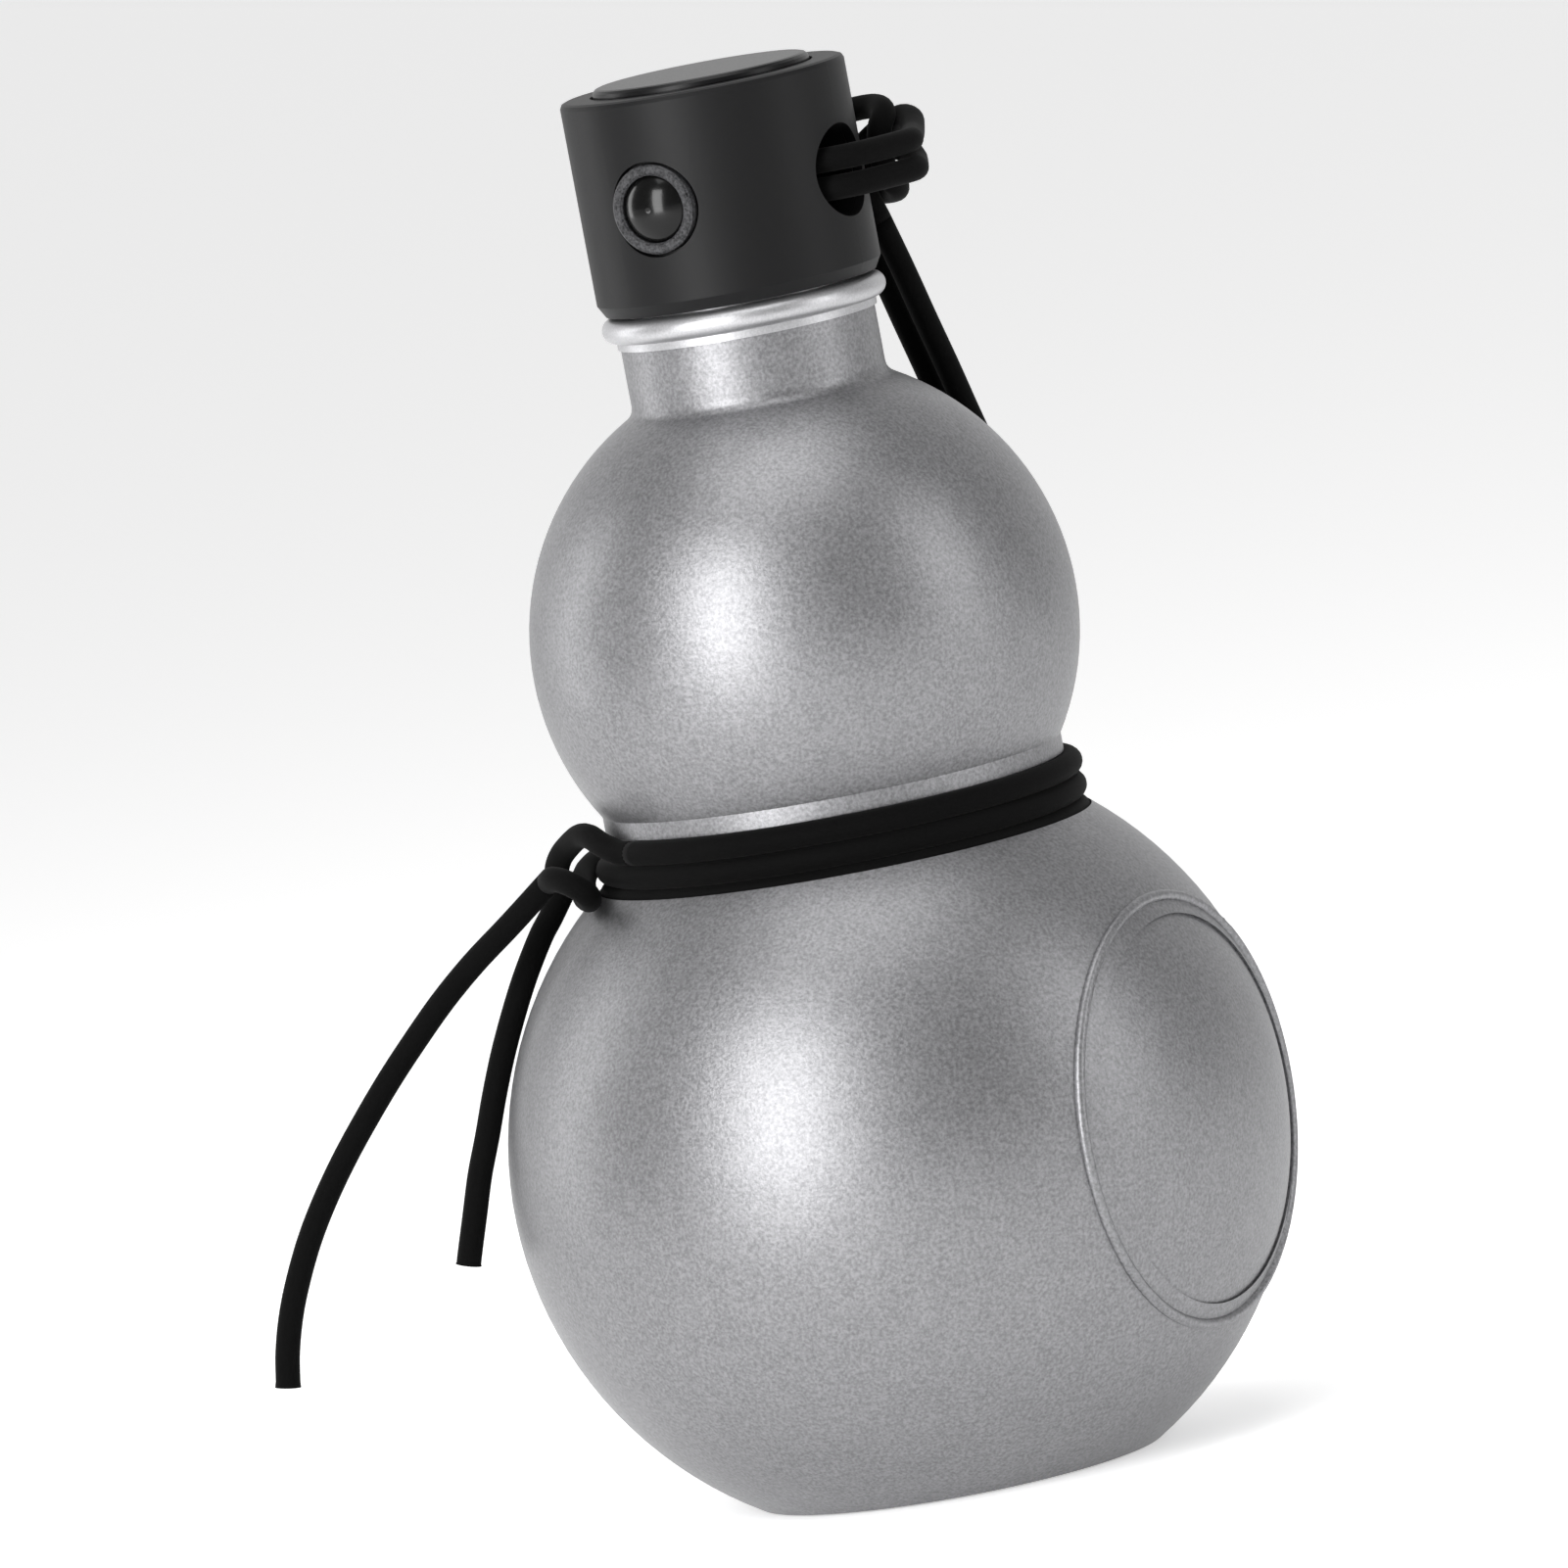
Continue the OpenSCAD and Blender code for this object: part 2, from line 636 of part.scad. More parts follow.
// The point next to a route's first or last one, which the neighbouring stretch leans to
knot_over_curve = smooth_route(knot_over, 2);
knot_under_curve = smooth_route(knot_under, 2);
loop_curve = smooth_route(loop_route, 2);
function second(p) = [p[1]];
function last_but_one(p) = [p[len(p) - 2]];
cord_colour = [0.05, 0.05, 0.05];

module waist_winding() {
  color(cord_colour) stretch(last_but_one(leg_b_lower), winding_route, [], winding_d, 6);
}
module waist_return() {
  color(cord_colour)
    stretch(last_but_one(leg_a_lower), return_route, second(knot_over_curve), winding_d, 6);
}
module waist_knot() {
  color(cord_colour) {
    stretch(last_but_one(return_route), knot_over_curve, second(tail_short_route), cord_d, 8);
    stretch([], knot_under_curve, second(tail_long_route), cord_d, 8);
  }
}
module leash_lower() {
  color(cord_colour) {
    stretch(last_but_one(leg_a_upper), leg_a_lower, second(return_route), cord_d, 8);
    stretch(last_but_one(leg_b_upper), leg_b_lower, second(winding_route), cord_d, 8);
  }
}
module leash_upper() {
  color(cord_colour) {
    stretch(second(loop_curve), leg_a_upper, second(leg_a_lower), cord_d, 8);
    stretch(last_but_one(loop_curve), leg_b_upper, second(leg_b_lower), cord_d, 8);
  }
}
module cap_loop() {
  color(cord_colour) stretch(second(leg_a_upper), loop_curve, second(leg_b_upper), cord_d, 8);
}
module tail_long() {
  color(cord_colour) stretch(last_but_one(knot_under_curve), tail_long_route, [], cord_d, 8);
}
module tail_short() {
  color(cord_colour) stretch(last_but_one(knot_over_curve), tail_short_route, [], cord_d, 8);
}

// Least gap between a wound tube and itself, measured between points more than a turn's part apart
function least_gap(p, d, skip) = min([
  for (i = [0:len(p) - 1 - skip])
    for (j = [i + skip:len(p) - 1])
      norm(p[i] - p[j]) - d
]);
union() {
  echo(winding_gap = least_gap(winding_route, winding_d, 10));
  echo(loop_gap = least_gap(loop_curve, cord_d, 7));
}

lower_ball();
upper_ball();
neck_ring();
cap_shell();
cap_liner();
sealing_gasket();
cap_top_disc();
lock_block();
lock_plunger();
button_ring();
button_dome();
lock_spring();
waist_winding();
waist_return();
waist_knot();
leash_lower();
leash_upper();
cap_loop();
tail_long();
tail_short();
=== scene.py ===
"""Gourd water bottle: the finish of its metal and plastic, its cord and its lock's spring."""
import math

import bmesh
import bpy
from mathutils import Matrix, Vector


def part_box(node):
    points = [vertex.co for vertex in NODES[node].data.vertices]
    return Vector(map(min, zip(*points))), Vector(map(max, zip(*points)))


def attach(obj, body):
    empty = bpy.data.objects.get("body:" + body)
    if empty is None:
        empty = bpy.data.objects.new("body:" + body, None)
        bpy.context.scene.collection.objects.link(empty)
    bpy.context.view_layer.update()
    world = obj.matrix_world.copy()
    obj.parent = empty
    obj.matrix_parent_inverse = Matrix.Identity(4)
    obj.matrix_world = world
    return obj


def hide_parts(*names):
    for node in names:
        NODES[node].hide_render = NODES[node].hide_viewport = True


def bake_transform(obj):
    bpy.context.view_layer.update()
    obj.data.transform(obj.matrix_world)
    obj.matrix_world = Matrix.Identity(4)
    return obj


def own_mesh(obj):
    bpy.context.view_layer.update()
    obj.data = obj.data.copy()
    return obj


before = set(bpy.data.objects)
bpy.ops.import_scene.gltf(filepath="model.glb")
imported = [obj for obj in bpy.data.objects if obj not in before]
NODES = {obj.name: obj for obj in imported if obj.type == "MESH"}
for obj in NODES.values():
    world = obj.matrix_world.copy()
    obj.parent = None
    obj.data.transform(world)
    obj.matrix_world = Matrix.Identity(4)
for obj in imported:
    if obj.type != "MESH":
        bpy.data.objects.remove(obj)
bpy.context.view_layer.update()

bl_info = {
    "name": "Gourd water bottle",
    "version": (1, 0, 0),
    "blender": (4, 5, 0),
    "location": "View3D > Sidebar > Gourd bottle",
    "description": "Dresses the gourd water bottle: blasted metal, black cap and wound cord",
    "category": "Add Mesh",
}

MM = 0.001
TURNS = 3
SPRING_TURNS = 3.5
WRAP_LOWEST = math.radians(236)
STEP_FROM = math.radians(236)
STEP_TO = math.radians(288)
ROUND_TURN = 2 * math.pi


def at(azimuth, radius, height):
    """Point from azimuth in degrees (0 is the button's side), radius and height in millimetres."""
    a = math.radians(azimuth)
    return (radius * math.sin(a), -radius * math.cos(a), height)


TAIL_LONG = [
    (-30.5, -25.6, 87.6), (-36.7, -27, 82.8), (-42.6, -28, 78.5), (-47.6, -29.2, 74.2),
    (-52, -30.6, 69.7), (-55.9, -32.4, 65.2), (-59.3, -34.4, 60.7), (-62.6, -36.2, 56.1),
    (-65.5, -37.9, 51.5), (-68.2, -39.3, 46.7), (-70.3, -40.6, 41.9), (-72.1, -41.6, 37),
    (-73.4, -42.3, 32), (-74.1, -42.8, 27.2),
]
TAIL_SHORT = [
    (-35.4, -14.3, 84.6), (-37.1, -15.6, 81.7), (-38.4, -17, 79.4), (-40.5, -19.3, 74.7),
    (-42.2, -21.5, 69.9), (-43.7, -23.5, 65.1), (-45, -25.4, 60.1), (-46.3, -26.8, 55.2),
    (-48, -27.7, 50.3), (-49.4, -28.5, 45.3), (-50.8, -29.3, 40.3), (-51.2, -29.5, 38.8),
]
KNOT_OVER = [
    at(-32, 31.3, 90.1), at(-37, 32, 90.4), at(-43, 32.8, 91.4), at(-49, 33.4, 92.4),
    at(-55, 34.2, 92.4), at(-61, 35.6, 91.2), at(-65, 37.4, 89.4), at(-67, 38.4, 87.2),
]
KNOT_UNDER = [
    at(-118, 34.8, 86.4), at(-106, 34.8, 87.2), at(-94, 34.8, 87.4), at(-82, 34.8, 87.2),
    at(-72, 34.8, 86.7), at(-63, 34.8, 86), at(-55, 35, 85.4), at(-47, 35.8, 84.9),
    at(-40, 36.6, 84.9), at(-36, 37.8, 86), at(-37.5, 39.3, 87.6), at(-43, 40.2, 88.4),
]
LEG_A_LOWER = [
    at(155.6, 37.3, 104), at(155.4, 35.6, 98.8), at(154.6, 33.6, 94.6),
    at(152.6, 32.6, 91.9), at(149.4, 32, 90.5), at(145, 31.3, 90.1),
]
LEG_B_LOWER = [
    at(162.4, 37.3, 104), at(162.6, 35.6, 98.8), at(163.4, 33.6, 94.6),
    at(165.4, 32.6, 91.9), at(168.6, 32, 90.5), at(173, 31.3, 90.1),
]
LEG_A_UPPER = [
    at(150, 22.8, 164), at(151, 25.2, 157), at(152.4, 27.6, 150), at(153.6, 30.1, 143),
    at(154.4, 32.4, 136), at(155, 34.8, 129), at(155.4, 37, 122), at(155.6, 38.3, 114),
    at(155.6, 37.3, 104),
]
LEG_B_UPPER = [
    at(161, 22.8, 164), at(161.6, 25.2, 157), at(162, 27.6, 150), at(162.3, 30.1, 143),
    at(162.4, 32.4, 136), at(162.4, 34.8, 129), at(162.4, 37, 122), at(162.4, 38.3, 114),
    at(162.4, 37.3, 104),
]
LOOP_RISE = [
    at(150, 22.8, 164), at(150, 21.4, 168.6), at(150, 22.2, 171.8), at(148, 25, 173.2),
    at(144, 27.2, 172.6), at(138, 27.1, 171.6), at(130, 26.2, 171.1), at(120, 25.7, 171.1),
]
LOOP_THROUGH = [
    at(110, 25.6, 171.1), (22.6, 3.2, 171.1), (20.2, -0.8, 171.1), (16, -3, 171.1),
    (9, -4, 171.1), (0, -4, 171.1), (-7, -3.8, 171.1), (-12, -2, 171.1), (-16, 1, 171.1),
    (-19.3, 3.9, 171.1),
]
LOOP_ARM = [
    at(246, 21.2, 171.1), at(232, 21, 171.1), at(216, 21, 171.1), at(200, 21, 170.7),
    at(186, 21.4, 169.8), at(174, 23, 168.4), at(164, 25.6, 167.5), at(154, 26.4, 167.3),
    at(145, 25.2, 168), at(139.5, 23.2, 170),
]
LOOP_TURN = [at(138, 22.6, 173)]
LOOP_FALL = [
    at(110, 25.6, 174.9), at(120, 25.7, 174.9), at(130, 26.4, 175), at(138, 27.6, 175.6),
    at(145, 29, 176.4), at(152, 29.5, 176.6), at(158, 28.3, 175.4), at(161, 25.4, 173.4),
    at(161, 22.4, 171.6), at(161, 21.4, 168.4), at(161, 22.8, 164),
]
BORE_MIDDLE = 173


class BottleSizes(bpy.types.PropertyGroup):
    """Sizes that a user would change, in metres."""
    cord_d: bpy.props.FloatProperty(
        name="Cord", description="Diameter of the cord", default=3.3 * MM, unit="LENGTH")
    turn_pitch: bpy.props.FloatProperty(
        name="Turn pitch", description="Height from one turn round the waist to the next",
        default=3.2 * MM, unit="LENGTH")
    wrap_r: bpy.props.FloatProperty(
        name="Turn radius", description="Radius of the turns round the waist, to the cord's middle",
        default=31.3 * MM, unit="LENGTH")
    top_turn_z: bpy.props.FloatProperty(
        name="Top turn", description="Height of the top turn's middle", default=90.1 * MM, unit="LENGTH")
    spring_wire: bpy.props.FloatProperty(
        name="Spring wire", description="Diameter of the lock spring's wire",
        default=0.68 * MM, unit="LENGTH")
    grit: bpy.props.FloatProperty(
        name="Grit", description="Width of one blasted grain as it is drawn",
        default=0.45 * MM, unit="LENGTH")


class BottleColours(bpy.types.PropertyGroup):
    """Colours as sRGB hex values."""
    metal: bpy.props.StringProperty(name="Blasted metal", description="Grey of the balls", default="949496")
    metal_dark: bpy.props.StringProperty(
        name="Grain", description="Darker grain of the balls", default="737375")
    neck: bpy.props.StringProperty(name="Neck", description="Grey of the neck", default="BDBDBF")
    black: bpy.props.StringProperty(name="Cap", description="Matte black of the cap", default="0B0B0C")
    ring: bpy.props.StringProperty(name="Button ring", description="Satin grey of the ring", default="4A4A4C")
    dome: bpy.props.StringProperty(name="Button dome", description="Gloss black", default="070707")
    cord: bpy.props.StringProperty(name="Cord", description="Black of the cord", default="080808")
    rubber: bpy.props.StringProperty(name="Gasket", description="Grey silicone", default="B9B9B6")
    steel: bpy.props.StringProperty(name="Spring", description="Drawn steel", default="B4B4B2")


def linear(hex_value):
    """Linear RGBA from an sRGB hex value."""
    parts = [int(hex_value[i:i + 2], 16) / 255 for i in (0, 2, 4)]
    return [c / 12.92 if c <= 0.04045 else ((c + 0.055) / 1.055) ** 2.4 for c in parts] + [1.0]


def sizes():
    return bpy.context.scene.gourd_sizes


def colours():
    return bpy.context.scene.gourd_colours


def add(tree, kind, settings=None, **links):
    """Adds a node with its settings, and links its named inputs to sockets or sets them to values."""
    made = tree.nodes.new(kind)
    for key, value in (settings or {}).items():
        setattr(made, key, value)
    for name, value in links.items():
        socket = made.inputs[name.replace("_", " ")]
        if isinstance(value, bpy.types.NodeSocket):
            tree.links.new(value, socket)
        else:
            socket.default_value = value
    return made


def surface(name, base, dark, grain, metallic, rough, spread, bump, sheen=0.0, coat=0.0, specular=0.5):
    """A finish whose grain of one real width varies the colour, the gloss and the height."""
    made = bpy.data.materials.new(name)
    made.use_nodes = True
    tree = made.node_tree
    shader = tree.nodes["Principled BSDF"]
    place = add(tree, "ShaderNodeTexCoord").outputs["Object"]
    fine = add(tree, "ShaderNodeTexNoise", Vector=place, Scale=1 / grain, Detail=2.0, Roughness=0.6)
    broad = add(tree, "ShaderNodeTexNoise", Vector=place, Scale=0.12 / grain, Detail=2.0)
    both = add(tree, "ShaderNodeMath", {"operation": "MULTIPLY_ADD"})
    tree.links.new(broad.outputs["Fac"], both.inputs[0])
    both.inputs[1].default_value = 0.12
    tree.links.new(fine.outputs["Fac"], both.inputs[2])
    ramp = add(tree, "ShaderNodeValToRGB", Fac=both.outputs["Value"])
    ramp.color_ramp.elements[0].position = 0.36
    ramp.color_ramp.elements[1].position = 0.76
    ramp.color_ramp.elements[0].color = linear(dark)
    ramp.color_ramp.elements[1].color = linear(base)
    tree.links.new(ramp.outputs["Color"], shader.inputs["Base Color"])
    gloss = add(tree, "ShaderNodeMapRange", Value=fine.outputs["Fac"],
                To_Min=rough - spread, To_Max=rough + spread)
    tree.links.new(gloss.outputs["Result"], shader.inputs["Roughness"])
    relief = add(tree, "ShaderNodeBump", Height=fine.outputs["Fac"], Strength=bump, Distance=grain * 0.25)
    tree.links.new(relief.outputs["Normal"], shader.inputs["Normal"])
    shader.inputs["Metallic"].default_value = metallic
    shader.inputs["Sheen Weight"].default_value = sheen
    shader.inputs["Coat Weight"].default_value = coat
    shader.inputs["Coat Roughness"].default_value = 0.06
    shader.inputs["Specular IOR Level"].default_value = specular
    return made


def blasted_aluminium():
    """Aluminium blasted with glass beads: its pits scatter the light into a broad, grainy sheen."""
    return surface("blasted_aluminium", colours().metal, colours().metal_dark, sizes().grit,
                   0.9, 0.46, 0.05, 0.28)


def turned_aluminium():
    """Aluminium turned and finely blasted: smoother and brighter than the balls."""
    return surface("turned_aluminium", colours().neck, "A9A9AB", sizes().grit * 0.6, 0.9, 0.42, 0.03, 0.08)


def moulded_black(name, hex_value, rough):
    """ABS moulded in a fine-textured tool: its texture, drawn at 0.3 mm so that it shows, keeps it matte."""
    return surface(name, hex_value, "0A0A0B", 0.3 * MM, 0.0, rough, 0.05, 0.1, specular=0.2)


def gloss_black():
    """Polished black ABS: a smooth coat gives the small sharp lights on the dome."""
    return surface("polished_abs", colours().dome, "050505", 0.5 * MM,
                   0.0, 0.2, 0.02, 0.0, coat=0.15, specular=0.2)


def silicone():
    """Moulded silicone: soft, even and slightly waxy."""
    return surface("moulded_silicone", colours().rubber, "9E9E9B", 0.6 * MM, 0.0, 0.55, 0.04, 0.05)


def drawn_steel():
    """Cold-drawn spring wire: bright, with faint drawing marks."""
    return surface("drawn_steel_wire", colours().steel, "8C8C8A", 0.2 * MM, 1.0, 0.3, 0.05, 0.1)


def waxed_cord():
    """Round braided polyester cord: its 0.35 mm plaits catch a faint sheen at grazing angles."""
    return surface("braided_polyester_cord", colours().cord, "040404", 0.35 * MM,
                   0.0, 0.78, 0.05, 0.3, sheen=0.02, specular=0.05)


def paint(obj, made):
    obj.data.materials.clear()
    obj.data.materials.append(made)


def smooth_cad(obj, angle_deg=28):
    """Shades a CAD node smooth, except across edges sharper than the angle, and led by its large faces."""
    mesh = bmesh.new()
    mesh.from_mesh(obj.data)
    sharp = math.radians(angle_deg)
    for edge in mesh.edges:
        edge.smooth = len(edge.link_faces) == 2 and edge.calc_face_angle(math.pi) < sharp
    for face in mesh.faces:
        face.smooth = True
    mesh.to_mesh(obj.data)
    mesh.free()
    even = obj.modifiers.new("even_shading", "WEIGHTED_NORMAL")
    even.keep_sharp = True


def metres(points):
    return [Vector(p) * MM for p in points]


def curved(points, steps=6):
    """Points on a smooth curve through a route's points."""
    ends = [points[0] * 2 - points[1]] + points + [points[-1] * 2 - points[-2]]
    made = []
    for p0, p1, p2, p3 in zip(ends, ends[1:], ends[2:], ends[3:]):
        for i in range(steps):
            t = i / steps
            made.append(0.5 * (2 * p1 + (p2 - p0) * t + (2 * p0 - 5 * p1 + 4 * p2 - p3) * t * t
                               + (3 * p1 - p0 - 3 * p2 + p3) * t ** 3))
    return made + [points[-1]]


def tube(name, route, diameter, sides=20, flare=1.0):
    """A round mesh tube along a route, with flat ends. The last ring is flare times as wide."""
    mesh = bmesh.new()
    tangents = [(b - a).normalized() for a, b in zip([route[0]] + route[:-1], route[1:] + [route[-1]])]
    tangents[0] = (route[1] - route[0]).normalized()
    normal = tangents[0].orthogonal().normalized()
    rings = []
    for i, (centre, along) in enumerate(zip(route, tangents)):
        normal = (normal - along * normal.dot(along)).normalized()
        across = along.cross(normal)
        radius = diameter / 2 * (flare if i == len(route) - 1 else 1.0)
        turns = [ROUND_TURN * k / sides for k in range(sides)]
        spokes = [normal * math.cos(a) + across * math.sin(a) for a in turns]
        rings.append([mesh.verts.new(centre + spoke * radius) for spoke in spokes])
    for low, high in zip(rings, rings[1:]):
        for k in range(sides):
            mesh.faces.new((low[k], low[(k + 1) % sides], high[(k + 1) % sides], high[k])).smooth = True
    mesh.faces.new(rings[0][::-1])
    mesh.faces.new(rings[-1])
    bmesh.ops.recalc_face_normals(mesh, faces=mesh.faces)
    data = bpy.data.meshes.new(name)
    mesh.to_mesh(data)
    mesh.free()
    made = bpy.data.objects.new(name, data)
    bpy.context.scene.collection.objects.link(made)
    return made


def join(name, parts):
    """Joins tubes into one piece."""
    chosen = {"active_object": parts[0], "selected_editable_objects": parts, "selected_objects": parts}
    with bpy.context.temp_override(**chosen):
        bpy.ops.object.join()
    parts[0].name = name
    return parts[0]


def cord_tube(name, points, flare=1.0):
    return tube(name, curved(metres(points)), sizes().cord_d, flare=flare)


def winding_route():
    """The turns round the waist: level, with a smooth step of one pitch in each turn."""
    s = sizes()
    first = math.radians(173)
    last = WRAP_LOWEST + (TURNS - 1) * ROUND_TURN
    count = 60 * TURNS
    made = []
    for i in range(count + 1):
        a = first + (last - first) * i / count
        drop = 0.0
        for turn in range(TURNS - 1):
            t = (a - STEP_FROM - turn * ROUND_TURN) / (STEP_TO - STEP_FROM)
            t = max(0.0, min(1.0, t))
            drop += t * t * (3 - 2 * t)
        height = s.top_turn_z - drop * s.turn_pitch
        made.append(Vector((s.wrap_r * math.sin(a), -s.wrap_r * math.cos(a), height)))
    return made


def return_route():
    """From the leash's first leg round the front to the knot, in the top turn's place."""
    s = sizes()
    first, last, count = math.radians(145), math.radians(-32), 60
    turns = [first + (last - first) * i / count for i in range(count + 1)]
    return [Vector((s.wrap_r * math.sin(a), -s.wrap_r * math.cos(a), s.top_turn_z)) for a in turns]


def mirrored(points):
    """The same route at the same distance above the middle of the cap's cross hole, run backwards."""
    return [(x, y, 2 * BORE_MIDDLE - z) for x, y, z in reversed(points)]


class GOURD_OT_camera(bpy.types.Operator):
    """Places the camera at the photograph's angle"""
    bl_idname = "gourd.camera"
    bl_label = "Camera"

    def execute(self, context):
        azimuth, elevation, roll = math.radians(30), math.radians(6), math.radians(10.63)
        distance, plane_width = 3.0, 206.9 * MM
        data = bpy.data.cameras.new("camera")
        data.sensor_width = 36
        data.lens = data.sensor_width * distance / plane_width
        camera = bpy.data.objects.new("camera", data)
        context.scene.collection.objects.link(camera)
        right = Vector((math.cos(azimuth), math.sin(azimuth), 0))
        back = Vector((math.sin(azimuth) * math.cos(elevation), -math.cos(azimuth) * math.cos(elevation),
                       math.sin(elevation)))
        up = back.cross(right)
        up_image = up * math.cos(roll) + right * math.sin(roll)
        right_image = up_image.cross(back)
        aim = right * (-6.4 * MM) + Vector((0, 0, 93.9 * MM))
        place = aim + back * distance
        camera.matrix_world = Matrix(
            [(right_image[i], up_image[i], back[i], place[i]) for i in range(3)] + [(0, 0, 0, 1)])
        data.clip_end = 20
        context.scene.camera = camera
        return {"FINISHED"}


class GOURD_OT_cords(bpy.types.Operator):
    """Makes the cord: turns, knot, tails, leash and the loop through the cap"""
    bl_idname = "gourd.cords"
    bl_label = "Cord"

    def execute(self, context):
        finish = waxed_cord()
        d = sizes().cord_d
        winding = tube("waist_turns", winding_route(), d)
        back_run = tube("waist_front_turn", return_route(), d)
        knot = join("knot", [cord_tube("knot_over", KNOT_OVER + [TAIL_SHORT[0]]),
                             cord_tube("knot_under", KNOT_UNDER + [TAIL_LONG[0]])])
        for piece, node in ((winding, "waist_winding"), (back_run, "waist_return"), (knot, "waist_knot")):
            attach(piece, "bottle")
            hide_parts(node)
        lower = join("leash_foot", [cord_tube("foot_a", LEG_A_LOWER), cord_tube("foot_b", LEG_B_LOWER)])
        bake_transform(lower)
        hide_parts("leash_lower")
        upper = join("leash_band", [cord_tube("band_a", LEG_A_UPPER), cord_tube("band_b", LEG_B_UPPER)])
        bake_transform(upper)
        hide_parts("leash_upper")
        route = LOOP_RISE + LOOP_THROUGH + LOOP_ARM + LOOP_TURN
        route += mirrored(LOOP_ARM) + mirrored(LOOP_THROUGH[1:]) + LOOP_FALL
        loop = cord_tube("cap_cord_loop", route)
        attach(loop, "cap")
        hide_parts("cap_loop")
        made = [winding, back_run, knot, lower, upper, loop]
        for name, points, node in (("tail_long_cord", TAIL_LONG, "tail_long"),
                                   ("tail_short_cord", TAIL_SHORT, "tail_short")):
            path = curved(metres(points))
            tail = tube(name, path, d, flare=1.06)
            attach(tail, "bottle")
            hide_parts(node)
            made.append(tail)
        for piece in made:
            paint(piece, finish)
        return {"FINISHED"}


class GOURD_OT_metal(bpy.types.Operator):
    """Finishes the two balls and the neck's ring"""
    bl_idname = "gourd.metal"
    bl_label = "Metal body"

    def execute(self, context):
        blasted = blasted_aluminium()
        for node in ("lower_ball", "upper_ball"):
            paint(NODES[node], blasted)
            smooth_cad(NODES[node])
        paint(NODES["neck_ring"], turned_aluminium())
        smooth_cad(NODES["neck_ring"])
        return {"FINISHED"}


class GOURD_OT_cap(bpy.types.Operator):
    """Finishes the cap, its disc, liner, gasket and lock"""
    bl_idname = "gourd.cap"
    bl_label = "Cap"

    def execute(self, context):
        black = moulded_black("moulded_abs_matte", colours().black, 0.5)
        satin = moulded_black("moulded_abs_satin", colours().black, 0.36)
        finishes = {
            "cap_shell": black, "cap_liner": black, "lock_block": black, "lock_plunger": satin,
            "cap_top_disc": satin, "sealing_gasket": silicone(),
            "button_ring": moulded_black("moulded_abs_ring", colours().ring, 0.4),
            "button_dome": gloss_black(),
        }
        for node, made in finishes.items():
            paint(NODES[node], made)
            smooth_cad(NODES[node])
        return {"FINISHED"}


class GOURD_OT_spring(bpy.types.Operator):
    """Winds the lock's spring at one fixed length, though the real spring shortens as the button is pressed
    """
    bl_idname = "gourd.spring"
    bl_label = "Lock spring"

    def execute(self, context):
        low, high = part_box("lock_spring")
        middle, wire = (low + high) / 2, sizes().spring_wire
        radius = (high.x - low.x - wire) / 2
        count = round(SPRING_TURNS * 40)
        run = high.y - low.y - wire
        route = []
        for i in range(count + 1):
            a = ROUND_TURN * SPRING_TURNS * i / count
            route.append(Vector((middle.x + radius * math.cos(a), low.y + wire / 2 + run * i / count,
                                 middle.z + radius * math.sin(a))))
        spring = tube("coiled_spring", route, wire, sides=12)
        paint(spring, drawn_steel())
        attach(spring, "cap")
        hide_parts("lock_spring")
        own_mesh(spring)
        return {"FINISHED"}


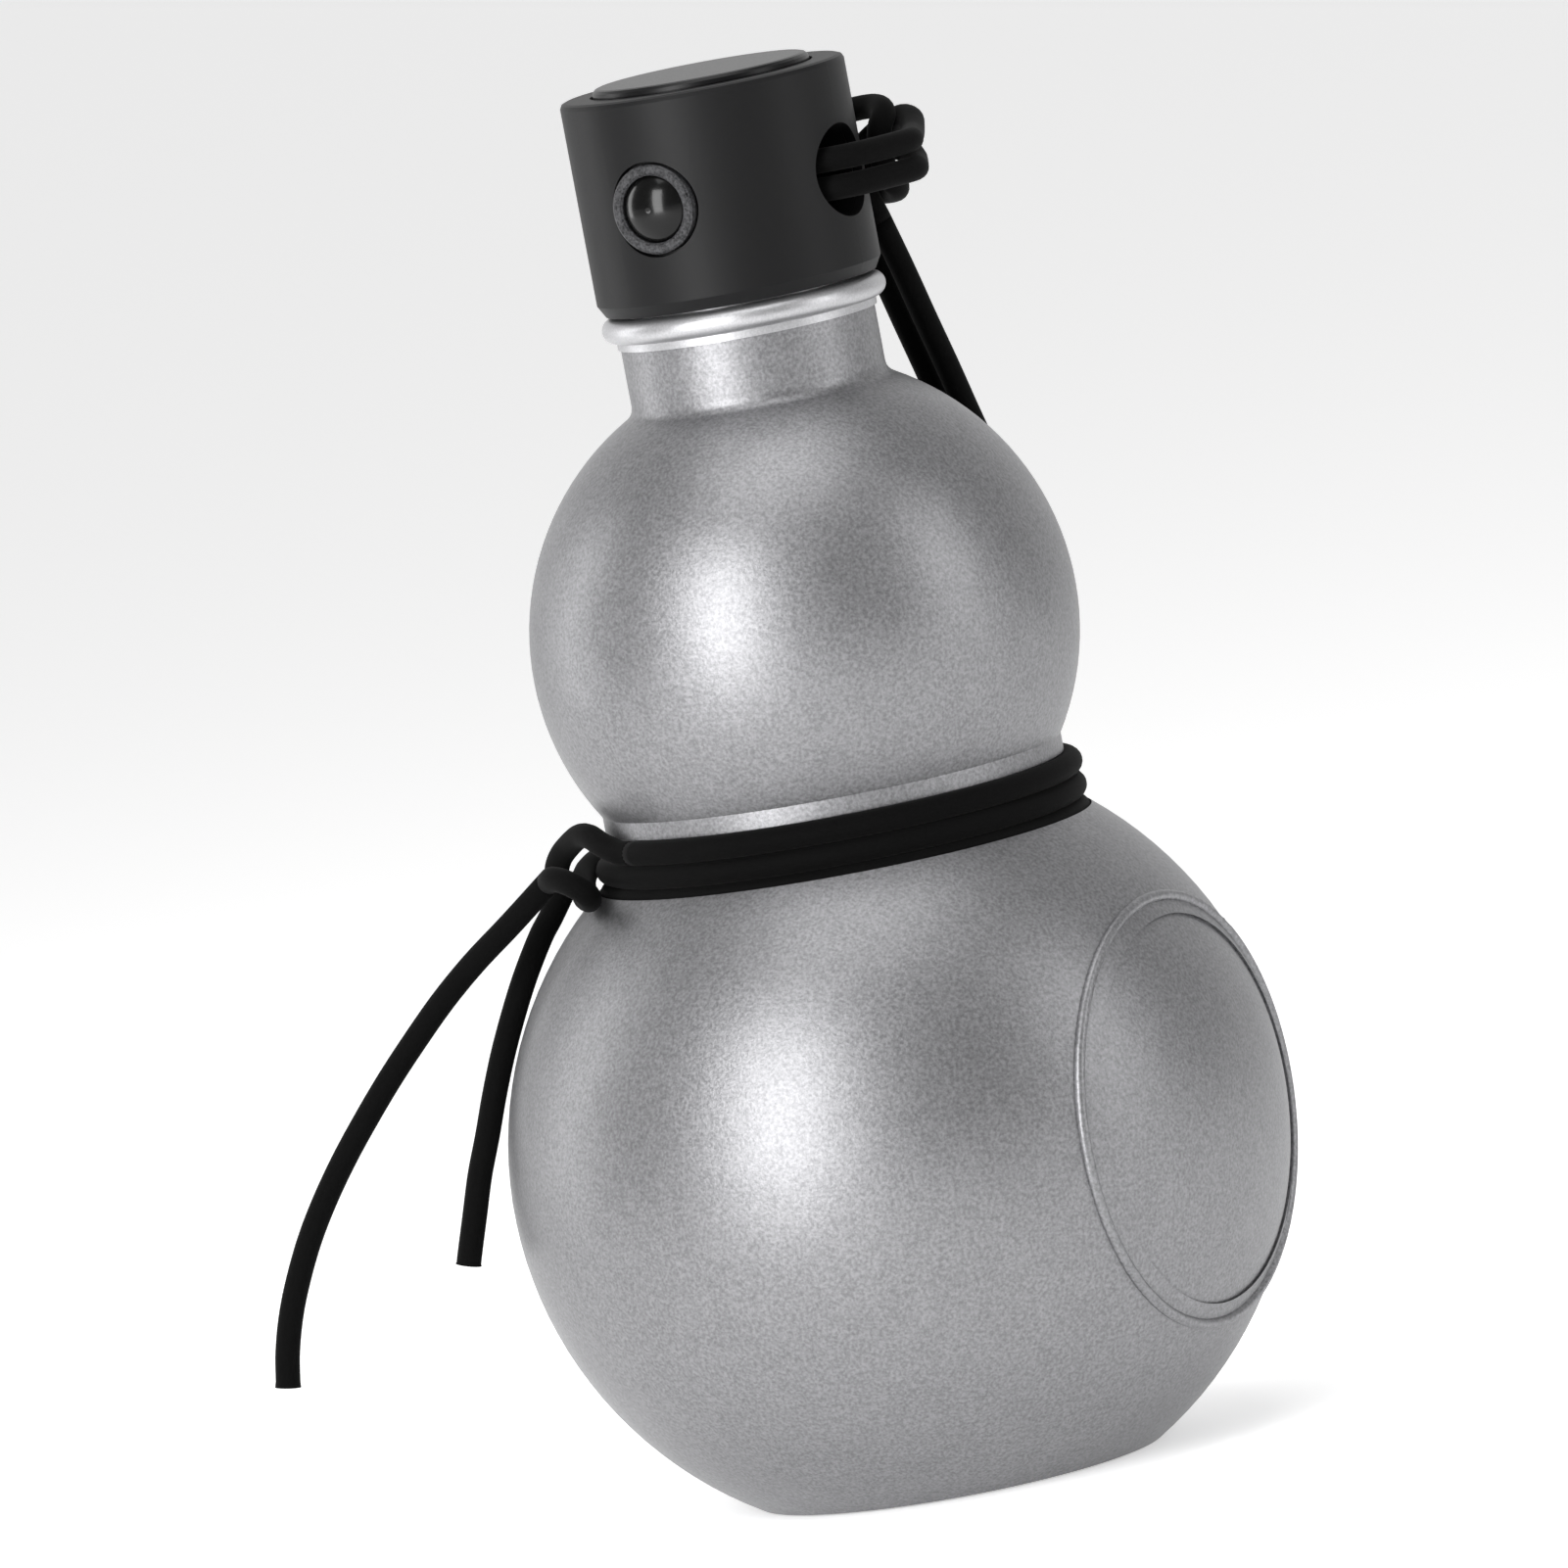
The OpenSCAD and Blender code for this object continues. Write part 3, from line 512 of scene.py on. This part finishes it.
class GOURD_OT_stage(bpy.types.Operator):
    """Makes the pale floor and the soft studio lights"""
    bl_idname = "gourd.stage"
    bl_label = "Stage"

    def execute(self, context):
        half, below = 40.0, -0.0002
        data = bpy.data.meshes.new("floor")
        corners = [(-half, -half, below), (half, -half, below), (half, half, below), (-half, half, below)]
        data.from_pydata(corners, [], [(0, 1, 2, 3)])
        floor = bpy.data.objects.new("floor", data)
        context.scene.collection.objects.link(floor)
        pale = bpy.data.materials.new("pale_paper")
        pale.use_nodes = True
        shader = pale.node_tree.nodes["Principled BSDF"]
        shader.inputs["Base Color"].default_value = linear("F4F4F4")
        shader.inputs["Roughness"].default_value = 0.9
        shader.inputs["Emission Color"].default_value = linear("FFFFFF")
        shader.inputs["Emission Strength"].default_value = 0.42
        paint(floor, pale)
        world = bpy.data.worlds.new("studio")
        world.use_nodes = True
        backdrop = world.node_tree.nodes["Background"]
        backdrop.inputs["Color"].default_value = linear("FFFFFF")
        place = add(world.node_tree, "ShaderNodeTexCoord").outputs["Generated"]
        behind = add(world.node_tree, "ShaderNodeVectorMath", {"operation": "DOT_PRODUCT"})
        world.node_tree.links.new(place, behind.inputs[0])
        behind.inputs[1].default_value = (-0.5, 0.866, 0)
        share = add(world.node_tree, "ShaderNodeMapRange", {"interpolation_type": "SMOOTHSTEP"},
                    Value=behind.outputs["Value"], From_Min=0.1, From_Max=0.9, To_Min=0.26, To_Max=1.0)
        world.node_tree.links.new(share.outputs["Result"], backdrop.inputs["Strength"])
        context.scene.world = world
        context.scene.view_settings.view_transform = "Standard"
        middle = Vector((0, 0, 0.09))
        for name, azimuth, elevation, distance, width, height, power in (
                ("key", -4, 18, 0.9, 0.34, 0.8, 9.0), ("fill", 98, 20, 0.9, 0.25, 0.7, 2.2),
                ("left", -82, 15, 0.9, 0.2, 0.7, 2.0), ("top", 30, 80, 0.8, 0.6, 0.6, 3.0)):
            a, e = math.radians(azimuth), math.radians(elevation)
            light = bpy.data.lights.new(name, "AREA")
            light.shape = "RECTANGLE"
            light.size = width
            light.size_y = height
            light.energy = power
            lamp = bpy.data.objects.new(name, light)
            context.scene.collection.objects.link(lamp)
            back = Vector((math.sin(a) * math.cos(e), -math.cos(a) * math.cos(e), math.sin(e)))
            lamp.location = middle + back * distance
            lamp.rotation_mode = "QUATERNION"
            lamp.rotation_quaternion = (-back).to_track_quat("-Z", "Y")
        return {"FINISHED"}


class GOURD_PT_panel(bpy.types.Panel):
    """Lists the bottle's steps"""
    bl_idname = "GOURD_PT_panel"
    bl_label = "Gourd water bottle"
    bl_space_type = "VIEW_3D"
    bl_region_type = "UI"
    bl_category = "Gourd bottle"

    def draw(self, context):
        for step in STEPS:
            self.layout.operator(step.bl_idname)


STEPS = (GOURD_OT_camera, GOURD_OT_cords, GOURD_OT_metal, GOURD_OT_cap, GOURD_OT_spring, GOURD_OT_stage)
CLASSES = (BottleSizes, BottleColours) + STEPS + (GOURD_PT_panel,)


def register():
    for made in CLASSES:
        bpy.utils.register_class(made)
    bpy.types.Scene.gourd_sizes = bpy.props.PointerProperty(type=BottleSizes)
    bpy.types.Scene.gourd_colours = bpy.props.PointerProperty(type=BottleColours)


def unregister():
    del bpy.types.Scene.gourd_sizes
    del bpy.types.Scene.gourd_colours
    for made in reversed(CLASSES):
        bpy.utils.unregister_class(made)


def main():
    register()
    bpy.ops.gourd.camera()
    bpy.ops.gourd.cords()
    bpy.ops.gourd.metal()
    bpy.ops.gourd.cap()
    bpy.ops.gourd.spring()
    bpy.ops.gourd.stage()


if __name__ == "__main__":
    main()
